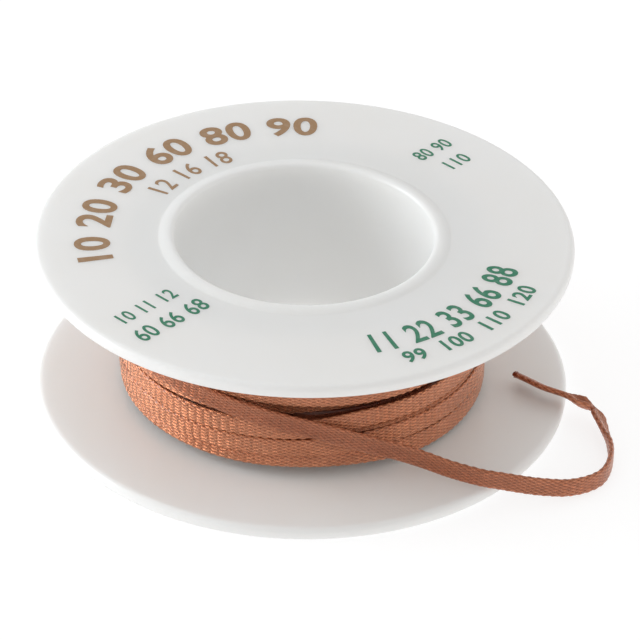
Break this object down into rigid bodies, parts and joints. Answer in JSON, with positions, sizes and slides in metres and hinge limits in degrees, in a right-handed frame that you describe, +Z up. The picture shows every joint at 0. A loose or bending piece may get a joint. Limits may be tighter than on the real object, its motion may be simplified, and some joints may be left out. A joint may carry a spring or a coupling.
{
  "type": "desoldering braid spool",
  "caption": "Flat plaited copper desoldering braid wound on a small white plastic spool with a through bore, its loose end lying out over the lower flange.",
  "frame": {"origin": "middle of the lower flange's underside, on the spool's axis", "axes": "+Z up along the spool's axis; the braid leaves the winding at -Y and its loop lies beside the spool at +X"},
  "size_m": [0.0613, 0.057, 0.019],
  "materials": {
    "spool_plastic": "smooth white moulded plastic, slightly glossy",
    "copper_braid": "fine plaited bare copper wire, satin"
  },
  "bodies": {
    "root": {"spool": "spool_plastic", "braid_winding": "copper_braid", "braid_tail": "copper_braid"}
  },
  "joints": []
}
